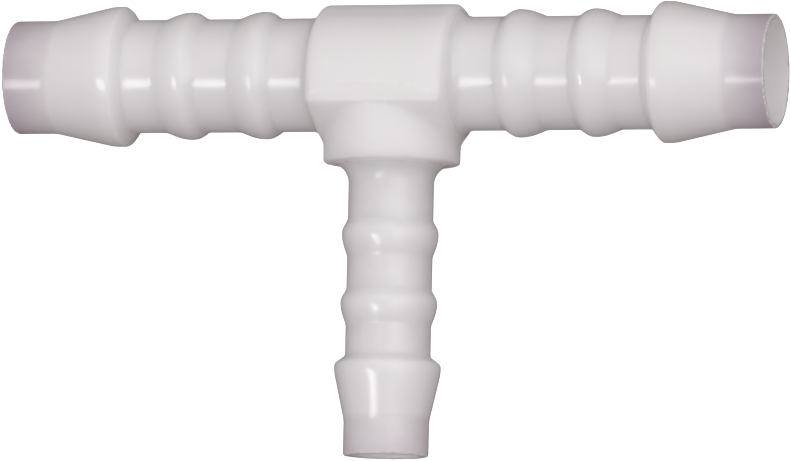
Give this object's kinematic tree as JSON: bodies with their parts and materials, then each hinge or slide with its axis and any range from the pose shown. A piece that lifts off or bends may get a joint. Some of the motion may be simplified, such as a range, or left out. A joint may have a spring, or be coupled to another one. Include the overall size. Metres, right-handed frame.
{
  "type": "barbed tee connector",
  "caption": "Reducing tee for flexible hose: a straight run with a barbed spigot at each end and a smaller barbed branch, moulded in milky natural plastic.",
  "frame": {"origin": "where the run axis and the branch axis cross, inside the hub", "axes": "+X along the run towards its right end, -Y along the branch towards its open end, +Z out of the hub's front pad"},
  "size_m": [0.0552, 0.0319, 0.0114],
  "materials": {
    "natural_plastic": "satin, milky translucent, uncoloured"
  },
  "bodies": {
    "root": {"hub_body": "natural_plastic", "branch_collar": "natural_plastic", "front_panel": "natural_plastic", "back_panel": "natural_plastic", "left_stem": "natural_plastic", "left_inner_ridge": "natural_plastic", "left_outer_ridge": "natural_plastic", "left_nose_barb": "natural_plastic", "right_stem": "natural_plastic", "right_inner_ridge": "natural_plastic", "right_outer_ridge": "natural_plastic", "right_nose_barb": "natural_plastic", "branch_stem": "natural_plastic", "branch_inner_ridge": "natural_plastic", "branch_outer_ridge": "natural_plastic", "branch_nose_barb": "natural_plastic"}
  },
  "joints": []
}
